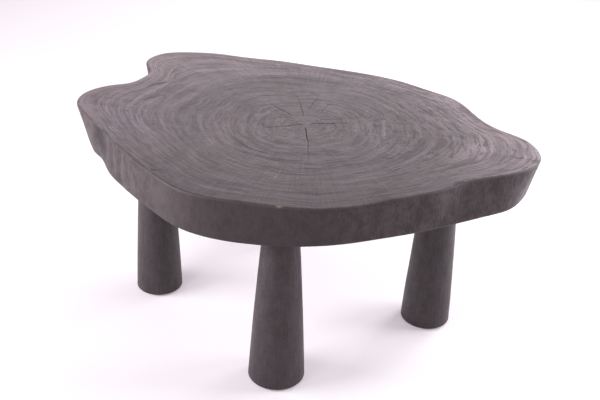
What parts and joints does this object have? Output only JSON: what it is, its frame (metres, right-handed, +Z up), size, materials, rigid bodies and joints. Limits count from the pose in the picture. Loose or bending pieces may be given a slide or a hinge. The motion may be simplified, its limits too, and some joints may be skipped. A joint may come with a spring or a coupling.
{
  "type": "live-edge coffee table",
  "caption": "Low table: a thick live-edge slice of a tree trunk, stained charcoal, standing on round tapered turned legs screwed to steel plates under the slab.",
  "frame": {"origin": "on the floor, under the middle of the bounding box of the slab", "axes": "+X along the slab's longest side, +Z up, the single front leg towards -Y"},
  "size_m": [1.0039, 0.8238, 0.421],
  "materials": {
    "charcoal_slab": "charcoal stain, brushed matte, grain open",
    "charcoal_leg": "charcoal stain, matte, long grain",
    "zinc_steel": "bright zinc plate",
    "black_glide": "moulded, matte black"
  },
  "bodies": {
    "root": {"tabletop_slab": "charcoal_slab", "leg_front": "charcoal_leg", "hanger_bolt_front": "zinc_steel", "mounting_plate_front": "zinc_steel", "plate_screws_front": "zinc_steel", "glide_front": "black_glide", "glide_screw_front": "zinc_steel", "leg_left": "charcoal_leg", "hanger_bolt_left": "zinc_steel", "mounting_plate_left": "zinc_steel", "plate_screws_left": "zinc_steel", "glide_left": "black_glide", "glide_screw_left": "zinc_steel", "leg_right": "charcoal_leg", "hanger_bolt_right": "zinc_steel", "mounting_plate_right": "zinc_steel", "plate_screws_right": "zinc_steel", "glide_right": "black_glide", "glide_screw_right": "zinc_steel", "leg_back": "charcoal_leg", "hanger_bolt_back": "zinc_steel", "mounting_plate_back": "zinc_steel", "plate_screws_back": "zinc_steel", "glide_back": "black_glide", "glide_screw_back": "zinc_steel"}
  },
  "joints": []
}
